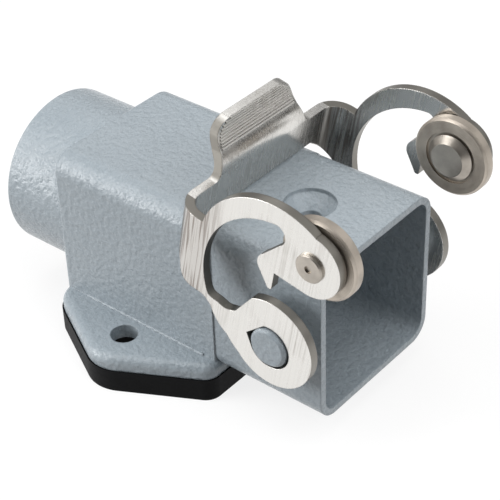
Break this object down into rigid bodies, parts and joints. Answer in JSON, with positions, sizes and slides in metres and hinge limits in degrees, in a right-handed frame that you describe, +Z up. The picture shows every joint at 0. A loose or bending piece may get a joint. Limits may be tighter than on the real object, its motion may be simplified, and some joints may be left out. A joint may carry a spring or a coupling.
{
  "type": "heavy duty rectangular connector housing",
  "caption": "Empty angled surface-mount housing of a small square heavy-duty rectangular connector, with a bent sheet locking lever, rollers, flange gasket and round threaded cable entry.",
  "frame": {"origin": "centre of the two flange holes, on the underside of the flange gasket where it meets the panel", "axes": "+X out of the mating socket, along the socket and the cable entry; +Y towards the left flange hole; +Z up from the panel"},
  "size_m": [0.0712, 0.0464, 0.0447],
  "materials": {
    "housing": "fine orange-peel blue-grey paint on a casting",
    "gasket": "matte black",
    "lever": "bright stainless sheet, fine rolled grain",
    "roller": "turned steel, slightly warm",
    "rivet": "plain steel"
  },
  "bodies": {
    "housing": {"housing": "housing", "flange_gasket": "gasket"},
    "lever": {"locking_lever": "lever", "rivet_left": "rivet", "rivet_right": "rivet"},
    "roller_left": {"roller_left": "roller"},
    "roller_right": {"roller_right": "roller"}
  },
  "joints": [
    {"name": "lever_swing", "type": "hinge", "parent": "housing", "child": "lever", "pos_m": [0.0287, 0, 0.0179], "axis": [0, 1, 0], "range_deg": [0, 85]},
    {"name": "roller_left_spin", "type": "hinge", "parent": "lever", "child": "roller_left", "pos_m": [0.037, 0.0155, 0.03623], "axis": [0, 1, 0], "continuous": true},
    {"name": "roller_right_spin", "type": "hinge", "parent": "lever", "child": "roller_right", "pos_m": [0.037, -0.0155, 0.03623], "axis": [0, 1, 0], "continuous": true}
  ]
}
